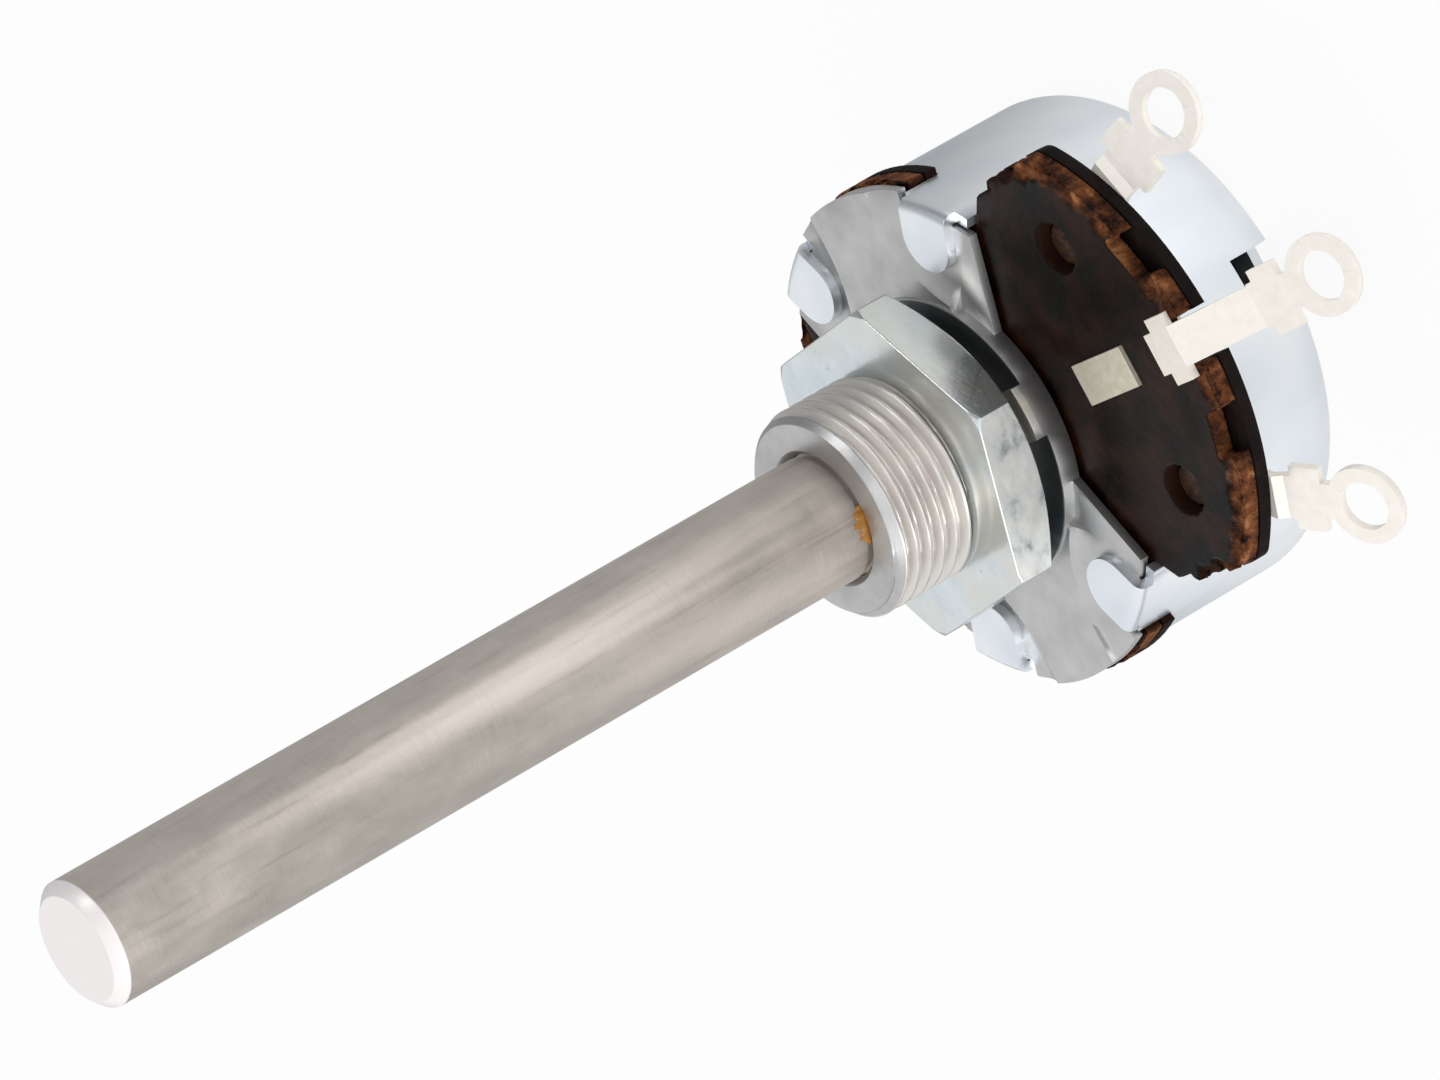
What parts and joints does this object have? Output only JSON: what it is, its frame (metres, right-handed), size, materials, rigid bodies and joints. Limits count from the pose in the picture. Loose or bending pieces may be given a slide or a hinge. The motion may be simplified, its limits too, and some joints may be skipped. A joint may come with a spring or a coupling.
{
  "type": "rotary potentiometer",
  "caption": "Panel-mount rotary potentiometer with a long plain round shaft, threaded bushing with hex nut, drawn metal cover and fanned solder lugs.",
  "frame": {"origin": "on the shaft's axis at the mounting face, which is the flat hub face behind the nut", "axes": "+Z runs along the shaft, out of the panel; the solder lugs point towards -Y; +X completes the right-handed set"},
  "size_m": [0.0242, 0.0391, 0.0626],
  "materials": {
    "diecast_zinc": "satin as cast",
    "zinc_plated_steel": "bright zinc plate",
    "tinned_sheet": "soft satin",
    "phenolic_board": "glossy paper laminate",
    "track_board": "smooth laminate",
    "carbon_film": "matt print",
    "silver_print": "dull print",
    "tinned_brass": "satin tin plate",
    "shaft_steel": "turned",
    "spring_steel": "dark oiled",
    "washer_plastic": "matt",
    "rotor_bakelite": "moulded",
    "spring_bronze": "bright rolled",
    "brush_carbon": "pressed graphite",
    "rivet_brass": "plain"
  },
  "bodies": {
    "housing": {"mounting_plate": "diecast_zinc", "hex_nut": "zinc_plated_steel", "can_cover": "tinned_sheet", "terminal_board": "phenolic_board", "element_board": "track_board", "carbon_track": "carbon_film", "end_pads": "silver_print", "collector_ring": "tinned_brass", "left_lug": "tinned_brass", "centre_lug": "tinned_brass", "right_lug": "tinned_brass", "lug_rivets": "rivet_brass", "thrust_washer": "washer_plastic"},
    "rotor": {"shaft": "shaft_steel", "retaining_ring": "spring_steel", "rotor_disc": "rotor_bakelite", "stop_plate": "zinc_plated_steel", "wiper_spring": "spring_bronze", "contact_brush": "brush_carbon", "wiper_rivets": "rivet_brass"}
  },
  "joints": [
    {"name": "shaft_turn", "type": "hinge", "parent": "housing", "child": "rotor", "pos_m": [0, 0, 0], "axis": [0, 0, 1], "range_deg": [-150, 150]}
  ]
}
